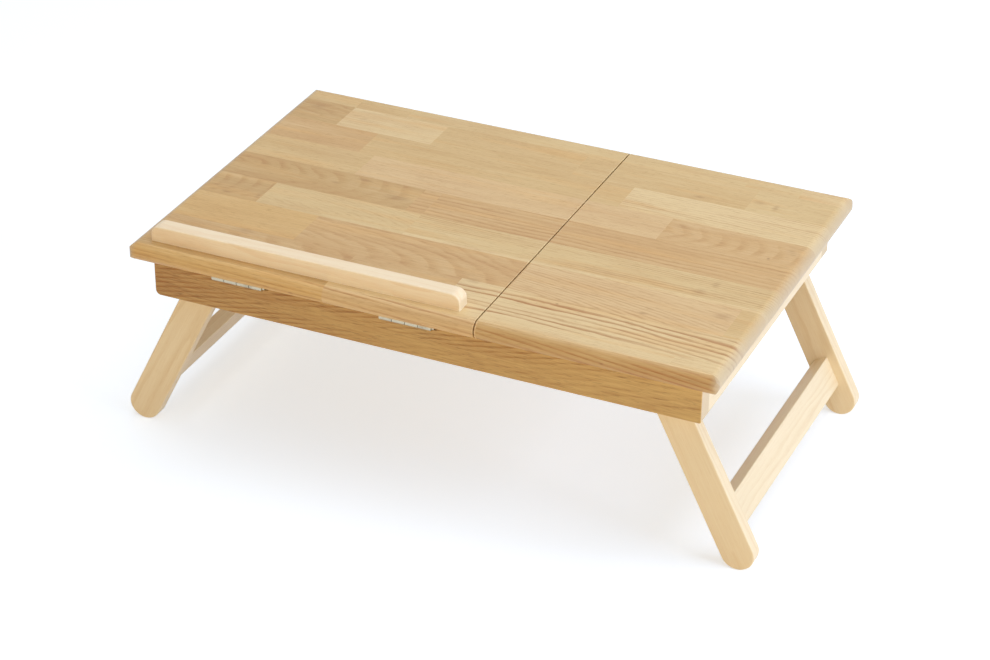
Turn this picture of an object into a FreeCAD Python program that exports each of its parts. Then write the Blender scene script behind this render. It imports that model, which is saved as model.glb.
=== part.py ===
"""Bed tray table: a low lap table with a tilting reading panel and two folding leg frames.

The table stands on z = 0 with the middle of its length and depth at the origin.
+X runs along its length, +Y to its far edge and +Z up. All sizes are millimetres.
Each function makes one piece, and PIECES at the end lists them all.
"""
import FreeCAD, Part
import math
import os

# ---------------------------------------------------------------- driving dimensions

# Top: two panels side by side, with a slit between them
top_length = 558.0
top_depth = 360.0
top_height = 205.0
top_thickness = 18.0
top_corner_radius = 6.0
fixed_panel_length = 219.4
slit_width = 1.2
slit_ease = 0.4

# Frame of rails under the top
end_overhang = 18.0
side_overhang = 14.5
rail_height = 37.0
rail_thickness = 18.0
rail_left_corner_radius = 5.0
rail_right_corner_radius = 2.0
rail_edge_ease = 0.8
cross_rail_height = 32.0
cross_rail_x = 0.0

# Glued frame joints
frame_dowel_radius = 4.0
frame_dowel_length = 35.0
frame_dowel_depth_in_rail = 11.0
frame_dowel_above_bottom = 8.0
frame_dowel_below_top = 12.0

# Legs: flat bars with round ends, which fold inwards about bolts near the rail tops
leg_width = 31.0
leg_thickness = 14.0
leg_splay = 26.6
leg_edge_ease = 1.2
pivot_drop = 20.0
stop_gap = 0.1

# Stretcher that ties the two legs of a frame
stretcher_width = 30.0
stretcher_thickness = 14.0
stretcher_rise = 30.0
stretcher_outer_inset = 9.5
stretcher_edge_ease = 1.0
stretcher_dowel_radius = 3.0
stretcher_dowel_length = 28.0
stretcher_dowel_depth_in_leg = 10.0
stretcher_dowel_spacing = 16.0

# Leg pivots: shouldered bolt, washer and threaded insert
shoulder_radius = 4.0
thread_radius = 3.0
insert_radius = 5.0
insert_length = 13.0
bolt_thread_length = 11.0
bolt_head_radius = 7.0
bolt_head_height = 3.4
bolt_crown_radius = 3.9
bolt_bend_radius = 6.0
bolt_bend_height = 2.5
bolt_rim_height = 1.0
bolt_socket_across_flats = 4.0
bolt_socket_depth = 2.0
washer_radius = 9.0
washer_thickness = 1.0
pivot_radial_play = 0.05
pivot_side_play = 0.1

# Butt hinges of the tilting panel and, shorter, of its prop
hinge_length = 50.0
hinge_knuckles = 4
hinge_left_inset = 79.6
hinge_right_inset = 43.3
leaf_width = 17.0
leaf_thickness = 1.2
knuckle_radius = 3.0
knuckle_clearance = 0.15
barrel_clearance = 0.45
knuckle_end_gap = 0.5
pin_radius = 1.5
pin_play = 0.05
pin_tip_length = 2.0
pin_tip_radius = 1.7
pin_tip_taper = 0.6
mortise_play = 0.3
mortise_right_room = 3.6
hinge_axis_ahead_of_rail = 2.5

# Book ledge on the tilting panel
ledge_length = 302.0
ledge_height = 15.0
ledge_depth = 15.5
ledge_left_inset = 17.2
ledge_front_inset = 14.0
ledge_end_radius = 8.5
ledge_edge_ease = 1.2
ledge_screw_hinge_gap = 7.5
ledge_screw_end_distance = 18.6

# Prop: a hinged frame under the tilting panel, whose foot drops into notched racks
tilt_notches = (35.0, 28.0, 20.0)
prop_y = 0.0
prop_thickness = 8.0
stile_width = 25.0
foot_rail_depth = 20.0
foot_rail_end_gap = 2.0
stile_rack_gap = 5.0
lap_length = 14.0
prop_hinge_knuckles = 3
prop_stop_play = 0.1

# Notched racks on the inner faces of the left side rail and the cross rail
rack_thickness = 8.0
rack_height = 15.0
rack_top_gap = 2.0
notch_seat_drop = 6.0
notch_play = 0.4
notch_front_slope = 28.0
rack_end_wood = 3.0
rack_front_wood = 6.0
rack_screw_bottom_wood = 0.8

# Wood screws: point length in shank radii, then head radius, head height, shank radius, length
screw_point_radii = 2.0
leaf_screw = (2.4, 1.2, 1.4, 10.0)
prop_screw = (2.4, 1.2, 1.4, 7.0)
rack_screw = (3.4, 2.2, 1.8, 18.0)
ledge_screw = (3.6, 2.4, 1.9, 27.0)
panel_screw = (3.8, 2.6, 2.0, 26.0)
leaf_screw_end_distance = 8.0
panel_screw_rail_wood = 15.0
panel_screw_clearance = 0.4

# How far a cutter reaches past the face that it opens
overreach = 1.0

# ---------------------------------------------------------------- derived places

half_length = top_length / 2
half_depth = top_depth / 2
underside = top_height - top_thickness
rail_bottom = underside - rail_height

frame_end = half_length - end_overhang
frame_front = half_depth - side_overhang
side_rail_inner = frame_end - rail_thickness
long_rail_inner = frame_front - rail_thickness
cross_rail_left = cross_rail_x - rail_thickness / 2
cross_rail_bottom = underside - cross_rail_height
corner_radii = {-1: rail_left_corner_radius, 1: rail_right_corner_radius}

fixed_panel_left = half_length - fixed_panel_length
tilting_panel_right = fixed_panel_left - slit_width

splay = math.radians(leg_splay)
leg_radius = leg_width / 2
pivot_z = underside - pivot_drop
pivot_above_rail_bottom = pivot_z - rail_bottom
# An open leg leans on the lower inner edge of its side rail.
stop_offset = leg_radius + stop_gap + pivot_above_rail_bottom * math.sin(splay)
pivot_x = side_rail_inner - stop_offset / math.cos(splay)
leg_reach = (pivot_z - leg_radius) / math.cos(splay)
leg_outer_y = long_rail_inner - washer_thickness - pivot_side_play
leg_inner_y = leg_outer_y - leg_thickness
stretcher_offset = leg_radius - stretcher_outer_inset - stretcher_thickness / 2

leaf_outer_offset = knuckle_radius + knuckle_clearance
leaf_inner_offset = leaf_outer_offset - leaf_thickness
barrel_room = knuckle_radius + barrel_clearance
hinge_y = -frame_front - hinge_axis_ahead_of_rail
hinge_z = underside - leaf_outer_offset
hinge_left_x = -half_length + hinge_left_inset
hinge_right_x = tilting_panel_right - hinge_right_inset - hinge_length

ledge_left = -half_length + ledge_left_inset
ledge_front = -half_depth + ledge_front_inset

rack_top = underside - rack_top_gap
notch_seat_z = rack_top - notch_seat_drop
foot_radius = prop_thickness / 2
notch_radius = foot_radius + notch_play
prop_hinge_distance = prop_y - hinge_y
prop_z = hinge_z
prop_top = prop_z + leaf_inner_offset
prop_middle = prop_top - foot_radius
prop_middle_drop = prop_z - prop_middle
steepest = math.radians(max(tilt_notches))
# The prop stands square to the panel in its steepest notch, which sets its length.
prop_reach = (
    (prop_hinge_distance - prop_middle_drop) * math.sin(steepest) + hinge_z - notch_seat_z
) / math.cos(steepest)
foot_rail_left = -side_rail_inner + foot_rail_end_gap
foot_rail_right = cross_rail_left - foot_rail_end_gap
foot_rail_back = prop_y + prop_reach + foot_radius
foot_rail_front = foot_rail_back - foot_rail_depth
left_stile_x = -side_rail_inner + rack_thickness + stile_rack_gap
right_stile_x = cross_rail_left - rack_thickness - stile_rack_gap - stile_width


# ---------------------------------------------------------------- shape helpers

def vec(x, y, z):
    """A point or direction."""
    return FreeCAD.Vector(x, y, z)


def block(low, high):
    """A box between two opposite corners."""
    size = [high[i] - low[i] for i in range(3)]
    return Part.makeBox(size[0], size[1], size[2], vec(*low))


def rod(radius, start, end):
    """A cylinder from one point to another."""
    axis = vec(*end) - vec(*start)
    return Part.makeCylinder(radius, axis.Length, vec(*start), axis)


def line(start, end):
    """A straight edge."""
    return Part.LineSegment(vec(*start), vec(*end)).toShape()


def arc(start, middle, end):
    """A round edge through three points."""
    return Part.Arc(vec(*start), vec(*middle), vec(*end)).toShape()


def prism(edges, along):
    """The solid that a closed outline sweeps along a straight line."""
    return Part.Face(Part.Wire(edges)).extrude(vec(*along))


def turned(points, origin, direction):
    """A solid turned from half an outline, given as (radius, distance along the axis)."""
    outline = [vec(radius, 0, distance) for radius, distance in points]
    face = Part.Face(Part.makePolygon(outline + outline[:1]))
    solid = face.revolve(vec(0, 0, 0), vec(0, 0, 1), 360)
    turn = FreeCAD.Rotation(vec(0, 0, 1), vec(*direction))
    solid.Placement = FreeCAD.Placement(vec(*origin), turn)
    return solid


def screw(sizes, head_point, direction):
    """A countersunk wood screw whose flat head lies at head_point."""
    head_radius, head_height, shank_radius, length = sizes
    outline = [
        (0, 0),
        (head_radius, 0),
        (shank_radius, head_height),
        (shank_radius, length - screw_point_radii * shank_radius),
        (0, length),
    ]
    return turned(outline, head_point, direction)


def without(shape, cutters):
    """The shape with every cutter taken out of it."""
    return shape.cut(Part.makeCompound(cutters)) if cutters else shape


def eased(shape, radius, chosen):
    """The shape with the chosen edges rounded."""
    edges = [edge for edge in shape.Edges if chosen(edge)]
    return shape.makeFillet(radius, edges)


def runs_along(edge, axis):
    """Whether an edge is straight and parallel to the axis numbered 0, 1 or 2."""
    box = edge.BoundBox
    spans = (box.XLength, box.YLength, box.ZLength)
    return all(spans[i] < 1e-6 for i in range(3) if i != axis) and spans[axis] > 1e-6


def lies_at(edge, axis, places):
    """Whether an edge lies in one of the planes given by their places on an axis."""
    box = edge.BoundBox
    low = (box.XMin, box.YMin, box.ZMin)[axis]
    high = (box.XMax, box.YMax, box.ZMax)[axis]
    return any(abs(low - place) < 1e-4 and abs(high - place) < 1e-4 for place in places)


def mirrored(shape):
    """The same piece on the other end of the table."""
    return shape.mirror(vec(0, 0, 0), vec(1, 0, 0))


# ---------------------------------------------------------------- top panels

def nosed_slab(low, high, place, along):
    """A slab with full bullnoses at low and high; place turns (distance, z) into a point."""
    nose = top_thickness / 2
    near, far, middle = low + nose, high - nose, underside + nose
    outline = [
        line(place(near, underside), place(far, underside)),
        arc(place(far, underside), place(high, middle), place(far, top_height)),
        line(place(far, top_height), place(near, top_height)),
        arc(place(near, top_height), place(low, middle), place(near, underside)),
    ]
    return prism(outline, along)


def whole_top():
    """The board that both panels are cut from: bullnosed all round, with rounded corners."""
    front_to_back = nosed_slab(
        -half_depth, half_depth, lambda y, z: (-half_length, y, z), (top_length, 0, 0)
    )
    end_to_end = nosed_slab(
        -half_length, half_length, lambda x, z: (x, -half_depth, z), (0, top_depth, 0)
    )
    plan = block(
        (-half_length, -half_depth, underside - overreach),
        (half_length, half_depth, top_height + overreach),
    )
    plan = eased(plan, top_corner_radius, lambda edge: runs_along(edge, 2))
    return front_to_back.common(end_to_end).common(plan)


def panel(left, right, slit_side):
    """The stretch of the top between left and right, eased where the slit parts it."""
    stretch = block(
        (left, -half_depth, underside - overreach), (right, half_depth, top_height + overreach)
    )
    board = whole_top().common(stretch).Solids[0]
    return eased(board, slit_ease, lambda edge: lies_at(edge, 0, (slit_side,)))


def fixed_panel():
    """The narrower right panel, screwed to the rails from below."""
    board = panel(fixed_panel_left, half_length, fixed_panel_left)
    return without(board, fixed_panel_screw_list())


def tilting_panel():
    """The wider left panel, hinged at its front edge."""
    screws = panel_leaf_screw_list() + ledge_screw_list() + prop_upper_screw_list()
    return without(panel(-half_length, tilting_panel_right, tilting_panel_right), screws)


# ---------------------------------------------------------------- frame

def lower_corner(edge, end):
    """Whether an edge is the lower one at the left (-1) or right (+1) end of the frame."""
    return (
        runs_along(edge, 1)
        and lies_at(edge, 0, (end * frame_end,))
        and lies_at(edge, 2, (rail_bottom,))
    )


def long_rail(sign):
    """A front (-1) or rear (+1) rail with rounded lower corners."""
    faces = sorted((sign * long_rail_inner, sign * frame_front))
    rail = block((-frame_end, faces[0], rail_bottom), (frame_end, faces[1], underside))
    for end, radius in corner_radii.items():
        rail = eased(rail, radius, lambda edge: lower_corner(edge, end))
    return eased(
        rail,
        rail_edge_ease,
        lambda edge: lies_at(edge, 1, (sign * frame_front,)) and not lies_at(edge, 2, (underside,)),
    )


def hinge_mortise(left):
    """The room cut into the front rail for one closed hinge and its pin tip."""
    right = left + hinge_length + mortise_right_room
    back = hinge_y + leaf_width + mortise_play
    return block(
        (left - mortise_play, -frame_front - overreach, hinge_z - leaf_outer_offset),
        (right, back, underside + overreach),
    )


def front_rail():
    """The front rail, with a mortise for each hinge."""
    cutters = [hinge_mortise(left) for left in (hinge_left_x, hinge_right_x)]
    cutters += rail_leaf_screw_list() + frame_dowel_list()
    cutters += insert_pockets(-1) + screw_wells()
    return without(long_rail(-1), cutters)


def rear_rail():
    """The rear rail."""
    return without(long_rail(1), frame_dowel_list() + insert_pockets(1) + screw_wells())


def side_rail(sign):
    """A side rail, rounded in line with the long rails; its lower inner edge stops the legs."""
    faces = sorted((sign * side_rail_inner, sign * frame_end))
    rail = block(
        (faces[0], -long_rail_inner, rail_bottom),
        (faces[1], long_rail_inner, underside),
    )
    return eased(rail, corner_radii[sign], lambda edge: lower_corner(edge, sign))


def left_side_rail():
    """The left side rail, which carries a rack."""
    return without(side_rail(-1), frame_dowel_list() + rack_screw_list())


def right_side_rail():
    """The right side rail, screwed up into the fixed panel."""
    return without(side_rail(1), frame_dowel_list() + screw_wells())


def centre_cross_rail():
    """The rail between the folded leg frames, which carries the other rack."""
    rail = block(
        (cross_rail_left, -long_rail_inner, cross_rail_bottom),
        (cross_rail_left + rail_thickness, long_rail_inner, underside),
    )
    rail = eased(
        rail,
        rail_edge_ease,
        lambda edge: runs_along(edge, 1) and lies_at(edge, 2, (cross_rail_bottom,)),
    )
    return without(rail, frame_dowel_list() + rack_screw_list())


def dowel_heights(bottom):
    """The two heights of the dowels in a rail end that starts at bottom."""
    return bottom + frame_dowel_above_bottom, underside - frame_dowel_below_top


def frame_dowel_list():
    """The blind dowels that join the short rails to the long ones."""
    rails = (
        (-frame_end + rail_thickness / 2, rail_bottom),
        (cross_rail_x, cross_rail_bottom),
        (frame_end - rail_thickness / 2, rail_bottom),
    )
    outer = long_rail_inner + frame_dowel_depth_in_rail
    inner = outer - frame_dowel_length
    dowels = []
    for x, bottom in rails:
        for z in dowel_heights(bottom):
            for sign in (-1, 1):
                dowels.append(rod(frame_dowel_radius, (x, sign * inner, z), (x, sign * outer, z)))
    return dowels


def fixed_panel_screw_places():
    """Where the fixed panel is screwed down: twice on each rail under it."""
    rail_middle_y = frame_front - rail_thickness / 2
    rail_middle_x = frame_end - rail_thickness / 2
    between = (fixed_panel_left + pivot_x) / 2
    return [
        (between, -rail_middle_y),
        (between, rail_middle_y),
        (rail_middle_x, -long_rail_inner / 2),
        (rail_middle_x, long_rail_inner / 2),
    ]


def fixed_panel_screw_list():
    """Screws that reach up from wells in the rails into the fixed panel."""
    head_z = underside - panel_screw_rail_wood
    return [screw(panel_screw, (x, y, head_z), (0, 0, 1)) for x, y in fixed_panel_screw_places()]


def screw_wells():
    """The wells under the fixed panel screws, with the screws themselves."""
    well_radius = panel_screw[0] + panel_screw_clearance
    head_z = underside - panel_screw_rail_wood
    wells = [
        rod(well_radius, (x, y, rail_bottom - overreach), (x, y, head_z))
        for x, y in fixed_panel_screw_places()
    ]
    return wells + fixed_panel_screw_list()


# ---------------------------------------------------------------- racks for the prop

def prop_foot_y(tilt):
    """Where the prop's foot lies when the panel is tilted by an angle in degrees."""
    angle = math.radians(tilt)
    hinge_end_y = hinge_y + prop_hinge_distance * math.cos(angle)
    drop = hinge_z + prop_hinge_distance * math.sin(angle) - notch_seat_z
    span = math.hypot(prop_reach, prop_middle_drop)
    return hinge_end_y + math.sqrt(span ** 2 - drop ** 2)


def notch_slope_y(seat_y, z):
    """Where the front slope of a notch seated at seat_y reaches a height."""
    slope = math.radians(notch_front_slope)
    low_y = seat_y - notch_radius * math.sin(slope)
    low_z = notch_seat_z - notch_radius * math.cos(slope)
    return low_y - (z - low_z) / math.tan(slope)


def notch(left, tilt):
    """The room of one notch: an upright back, a round seat and a long front slope."""
    y, z = prop_foot_y(tilt), notch_seat_z
    low_z = z - notch_radius * math.cos(math.radians(notch_front_slope))
    low_front = (left, notch_slope_y(y, low_z), low_z)
    top = rack_top + overreach
    seat_middle = (
        left,
        y + notch_radius * math.sin(math.pi / 6),
        z - notch_radius * math.cos(math.pi / 6),
    )
    back = (left, y + notch_radius, z)
    top_back = (left, y + notch_radius, top)
    top_front = (left, notch_slope_y(y, top), top)
    outline = [
        arc(low_front, seat_middle, back),
        line(back, top_back),
        line(top_back, top_front),
        line(top_front, low_front),
    ]
    return prism(outline, (rack_thickness, 0, 0))


def rack_ends():
    """The front and rear ends of the racks."""
    front = notch_slope_y(prop_foot_y(max(tilt_notches)), rack_top) - rack_front_wood
    back = prop_foot_y(min(tilt_notches)) + notch_radius + rack_end_wood
    return front, back


def rack(left):
    """A strip with one notch for each tilt of the panel."""
    front, back = rack_ends()
    strip = block((left, front, rack_top - rack_height), (left + rack_thickness, back, rack_top))
    cutters = [notch(left, tilt) for tilt in tilt_notches]
    return without(strip, cutters + rack_screw_list())


def rack_screw_list():
    """Screws between the notches of each rack, into the rail that carries it."""
    z = rack_top - rack_height + rack_screw[0] + rack_screw_bottom_wood
    seats = sorted(prop_foot_y(tilt) for tilt in tilt_notches)
    screws = []
    for y in [(near + far) / 2 for near, far in zip(seats, seats[1:])]:
        screws.append(screw(rack_screw, (-side_rail_inner + rack_thickness, y, z), (-1, 0, 0)))
        screws.append(screw(rack_screw, (cross_rail_left - rack_thickness, y, z), (1, 0, 0)))
    return screws


# ---------------------------------------------------------------- leg pivots

def pivot_places():
    """The four leg pivots as (x, sign of y)."""
    return [(side * pivot_x, sign) for side in (-1, 1) for sign in (-1, 1)]


def insert_pockets(sign):
    """Pockets for the threaded inserts in the front (-1) or rear (+1) rail."""
    return [
        rod(
            insert_radius,
            (x, sign * long_rail_inner, pivot_z),
            (x, sign * (long_rail_inner + insert_length), pivot_z),
        )
        for x, where in pivot_places()
        if where == sign
    ]


def pivot_inserts():
    """Threaded inserts set into the inner faces of the long rails."""
    inserts = []
    for sign in (-1, 1):
        for pocket in insert_pockets(sign):
            x = pocket.BoundBox.Center.x
            outer = sign * (long_rail_inner + insert_length)
            thread = rod(thread_radius, (x, sign * long_rail_inner, pivot_z), (x, outer, pivot_z))
            inserts.append(pocket.cut(thread))
    return Part.makeCompound(inserts)


def pivot_bolt(x, sign):
    """A shouldered bolt with a domed head and a hexagon socket, driven from inside."""
    head_y = leg_inner_y - pivot_side_play
    grip = long_rail_inner - head_y
    outline = [
        (0, -bolt_head_height),
        (bolt_crown_radius, -bolt_head_height),
        (bolt_bend_radius, -bolt_bend_height),
        (bolt_head_radius, -bolt_rim_height),
        (bolt_head_radius, 0),
        (shoulder_radius, 0),
        (shoulder_radius, grip),
        (thread_radius, grip),
        (thread_radius, grip + bolt_thread_length),
        (0, grip + bolt_thread_length),
    ]
    bolt = turned(outline, (x, sign * head_y, pivot_z), (0, sign, 0))
    corner = bolt_socket_across_flats / math.sqrt(3)
    face_y = sign * (head_y - bolt_head_height)
    corners = [
        vec(
            x + corner * math.cos(math.radians(60 * k)),
            face_y,
            pivot_z + corner * math.sin(math.radians(60 * k)),
        )
        for k in range(6)
    ]
    socket = Part.Face(Part.makePolygon(corners + corners[:1]))
    return bolt.cut(socket.extrude(vec(0, sign * bolt_socket_depth, 0)))


def pivot_bolts():
    """The four bolts that the legs turn on."""
    return Part.makeCompound([pivot_bolt(x, sign) for x, sign in pivot_places()])


def pivot_washers():
    """The washers between the rails and the legs."""
    washers = []
    for x, sign in pivot_places():
        outer = (x, sign * long_rail_inner, pivot_z)
        inner = (x, sign * (long_rail_inner - washer_thickness), pivot_z)
        hole = rod(shoulder_radius + pivot_radial_play, outer, inner)
        washers.append(rod(washer_radius, outer, inner).cut(hole))
    return Part.makeCompound(washers)


# ---------------------------------------------------------------- leg frames

def splayed(shape):
    """A piece made hanging straight down from the pivot, turned to the open right leg."""
    shape.rotate(vec(0, 0, 0), vec(0, 1, 0), -leg_splay)
    shape.translate(vec(pivot_x, 0, pivot_z))
    return shape


def stretcher_dowel_rods():
    """Dowels of one leg frame, before it is turned outwards."""
    outer = leg_inner_y + stretcher_dowel_depth_in_leg
    inner = outer - stretcher_dowel_length
    middle = stretcher_rise - leg_reach
    rods = []
    for step in (-0.5, 0.5):
        z = middle + step * stretcher_dowel_spacing
        for sign in (-1, 1):
            start = (stretcher_offset, sign * inner, z)
            rods.append(rod(stretcher_dowel_radius, start, (stretcher_offset, sign * outer, z)))
    return rods


def leg(sign):
    """The front (-1) or rear (+1) leg of the right frame."""
    y = min(sign * leg_inner_y, sign * leg_outer_y)
    r = leg_radius
    outline = [
        arc((-r, y, 0), (0, y, r), (r, y, 0)),
        line((r, y, 0), (r, y, -leg_reach)),
        arc((r, y, -leg_reach), (0, y, -leg_reach - r), (-r, y, -leg_reach)),
        line((-r, y, -leg_reach), (-r, y, 0)),
    ]
    bar = prism(outline, (0, leg_thickness, 0))
    bar = eased(bar, leg_edge_ease, lambda edge: lies_at(edge, 1, (y, y + leg_thickness)))
    bore_end = y + leg_thickness + overreach
    bore = rod(shoulder_radius + pivot_radial_play, (0, y - overreach, 0), (0, bore_end, 0))
    return splayed(without(bar, [bore] + stretcher_dowel_rods()))


def stretcher():
    """The flat bar between the legs of the right frame."""
    middle = stretcher_rise - leg_reach
    half_width, half_thickness = stretcher_width / 2, stretcher_thickness / 2
    bar = block(
        (stretcher_offset - half_thickness, -leg_inner_y, middle - half_width),
        (stretcher_offset + half_thickness, leg_inner_y, middle + half_width),
    )
    bar = eased(bar, stretcher_edge_ease, lambda edge: runs_along(edge, 1))
    return splayed(without(bar, stretcher_dowel_rods()))


def stretcher_dowels():
    """The dowels of the right leg frame."""
    return splayed(Part.makeCompound(stretcher_dowel_rods()))


# ---------------------------------------------------------------- hinges

def knuckle_spans(length, count, own):
    """The stretches of the barrel that belong to leaf 0 or leaf 1."""
    pitch = length / count
    half_gap = knuckle_end_gap / 2
    return [
        (k * pitch + half_gap, (k + 1) * pitch - half_gap)
        for k in range(count)
        if k % 2 == own
    ]


def hinge_leaf(length, count, own, side, face, screws):
    """A leaf with its knuckles; the pin lies along X through the origin.

    side is the way the plate reaches from the pin (+1 or -1 along Y), and face is
    the side of the barrel that the plate is level with (+1 above, -1 below).
    """
    heights = sorted((face * leaf_inner_offset, face * leaf_outer_offset))
    widths = sorted((0, side * leaf_width))
    plate = block((0, widths[0], heights[0]), (length, widths[1], heights[1]))
    pitch = length / count
    for k in range(count):
        if k % 2 != own:
            plate = plate.cut(
                block(
                    (k * pitch - knuckle_end_gap / 2, -barrel_room, -barrel_room),
                    ((k + 1) * pitch + knuckle_end_gap / 2, barrel_room, barrel_room),
                )
            )
    leaf = plate
    for start, end in knuckle_spans(length, count, own):
        leaf = leaf.fuse(rod(knuckle_radius, (start, 0, 0), (end, 0, 0)))
    bore = rod(pin_radius + pin_play, (-overreach, 0, 0), (length + overreach, 0, 0))
    leaf = leaf.cut(bore)
    return without(leaf.removeSplitter(), screws)


def leaf_screw_places(length, count):
    """Distances along a leaf of its screws, spread between its ends."""
    first, last = leaf_screw_end_distance, length - leaf_screw_end_distance
    return [first + (last - first) * k / (count - 1) for k in range(count)]


def leaf_screws(sizes, length, count, side, head_face, direction):
    """The screws of one leaf, in the hinge's own frame."""
    y = side * (leaf_width + knuckle_radius) / 2
    return [
        screw(sizes, (x, y, head_face), (0, 0, direction))
        for x in leaf_screw_places(length, count)
    ]


def hinge_pin(length):
    """A pin with a domed tip that stands out at the right end."""
    outline = [
        (0, 0),
        (pin_radius, 0),
        (pin_radius, length),
        (pin_tip_radius, length),
        (pin_tip_radius, length + pin_tip_length * pin_tip_taper),
        (pin_tip_radius * pin_tip_taper, length + pin_tip_length),
        (0, length + pin_tip_length),
    ]
    return turned(outline, (0, 0, 0), (1, 0, 0))


def placed(shape, x, y, z):
    """A hinge piece moved to its place on the table."""
    copy = shape.copy()
    copy.translate(vec(x, y, z))
    return copy


def rail_leaf_screws():
    """Screws of a leaf that lies on the floor of a rail mortise."""
    return leaf_screws(leaf_screw, hinge_length, 3, 1, -leaf_inner_offset, -1)


def panel_leaf_screws():
    """Screws of a leaf that lies against the panel's underside."""
    return leaf_screws(leaf_screw, hinge_length, 3, 1, leaf_inner_offset, 1)


def at_panel_hinges(shapes):
    """Hinge pieces repeated at both hinges of the tilting panel."""
    return [
        placed(shape, left, hinge_y, hinge_z)
        for left in (hinge_left_x, hinge_right_x)
        for shape in shapes
    ]


def rail_leaf_screw_list():
    """All screws of the rail leaves."""
    return at_panel_hinges(rail_leaf_screws())


def panel_leaf_screw_list():
    """All screws of the panel leaves."""
    return at_panel_hinges(panel_leaf_screws())


def rail_leaf(left):
    """The leaf of one panel hinge that is screwed to the front rail."""
    leaf = hinge_leaf(hinge_length, hinge_knuckles, 0, 1, -1, rail_leaf_screws())
    return placed(leaf, left, hinge_y, hinge_z)


def panel_leaf(left):
    """The leaf of one panel hinge that is screwed to the tilting panel."""
    leaf = hinge_leaf(hinge_length, hinge_knuckles, 1, 1, 1, panel_leaf_screws())
    return placed(leaf, left, hinge_y, hinge_z)


# ---------------------------------------------------------------- book ledge

def book_ledge():
    """A bar across the front of the tilting panel, with its top ends rounded off."""
    left, right = ledge_left, ledge_left + ledge_length
    low, high = top_height, top_height + ledge_height
    r = ledge_end_radius
    rise = r * (1 - math.cos(math.pi / 4))
    y = ledge_front
    outline = [
        line((left, y, low), (left, y, high - r)),
        arc((left, y, high - r), (left + rise, y, high - rise), (left + r, y, high)),
        line((left + r, y, high), (right - r, y, high)),
        arc((right - r, y, high), (right - rise, y, high - rise), (right, y, high - r)),
        line((right, y, high - r), (right, y, low)),
        line((right, y, low), (left, y, low)),
    ]
    bar = prism(outline, (0, ledge_depth, 0))
    bar = eased(
        bar,
        ledge_edge_ease,
        lambda edge: lies_at(edge, 1, (y, y + ledge_depth)) and not lies_at(edge, 2, (low,)),
    )
    return without(bar, ledge_screw_list())


def ledge_screw_list():
    """Three screws up through the panel, outside and between the hinges."""
    outside = ledge_left + ledge_screw_end_distance
    between = (hinge_left_x + hinge_length + hinge_right_x) / 2
    right = hinge_right_x + hinge_length + ledge_screw[0] + ledge_screw_hinge_gap
    y = ledge_front + ledge_depth / 2
    return [screw(ledge_screw, (x, y, underside), (0, 0, 1)) for x in (outside, between, right)]


# ---------------------------------------------------------------- prop

def prop_stile(left):
    """A side of the prop; its heel meets the hinge's upper leaf when it stands square."""
    right = left + stile_width
    bottom = prop_top - prop_thickness
    heel_y = prop_y - leaf_inner_offset + prop_stop_play
    lap_end = foot_rail_front + lap_length
    body = block((left, prop_y + barrel_room, bottom), (right, foot_rail_front, prop_top))
    heel = block((left, heel_y, bottom), (right, prop_y + barrel_room, prop_z - barrel_room))
    lap = block((left, foot_rail_front, prop_middle), (right, lap_end, prop_top))
    return without(body.fuse(heel).fuse(lap).removeSplitter(), prop_lower_screw_list())


def prop_foot_rail():
    """The prop's foot: a strip with a round rear edge, lapped under both stiles."""
    x = foot_rail_left
    bottom = prop_top - prop_thickness
    centre_y = foot_rail_back - foot_radius
    outline = [
        line((x, foot_rail_front, bottom), (x, centre_y, bottom)),
        arc((x, centre_y, bottom), (x, foot_rail_back, prop_middle), (x, centre_y, prop_top)),
        line((x, centre_y, prop_top), (x, foot_rail_front, prop_top)),
        line((x, foot_rail_front, prop_top), (x, foot_rail_front, bottom)),
    ]
    strip = prism(outline, (foot_rail_right - foot_rail_left, 0, 0))
    laps = [
        block(
            (left, foot_rail_front - overreach, prop_middle),
            (left + stile_width, foot_rail_front + lap_length, prop_top + overreach),
        )
        for left in (left_stile_x, right_stile_x)
    ]
    return without(strip, laps)


def at_prop_hinges(shapes):
    """Hinge pieces repeated on both stiles."""
    return [
        placed(shape, left, prop_y, prop_z)
        for left in (left_stile_x, right_stile_x)
        for shape in shapes
    ]


def prop_upper_screws():
    """Screws of an upper prop leaf, driven up into the panel."""
    return leaf_screws(leaf_screw, stile_width, 2, -1, leaf_inner_offset, 1)


def prop_lower_screws():
    """Screws of a lower prop leaf, driven down into the stile."""
    return leaf_screws(prop_screw, stile_width, 2, 1, leaf_outer_offset, -1)


def prop_upper_screw_list():
    """All screws of the upper prop leaves."""
    return at_prop_hinges(prop_upper_screws())


def prop_lower_screw_list():
    """All screws of the lower prop leaves."""
    return at_prop_hinges(prop_lower_screws())


def prop_upper_leaf(left):
    """The leaf of one prop hinge under the panel."""
    leaf = hinge_leaf(stile_width, prop_hinge_knuckles, 0, -1, 1, prop_upper_screws())
    return placed(leaf, left, prop_y, prop_z)


def prop_lower_leaf(left):
    """The leaf of one prop hinge on a stile."""
    leaf = hinge_leaf(stile_width, prop_hinge_knuckles, 1, 1, 1, prop_lower_screws())
    return placed(leaf, left, prop_y, prop_z)


# ---------------------------------------------------------------- all pieces

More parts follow.
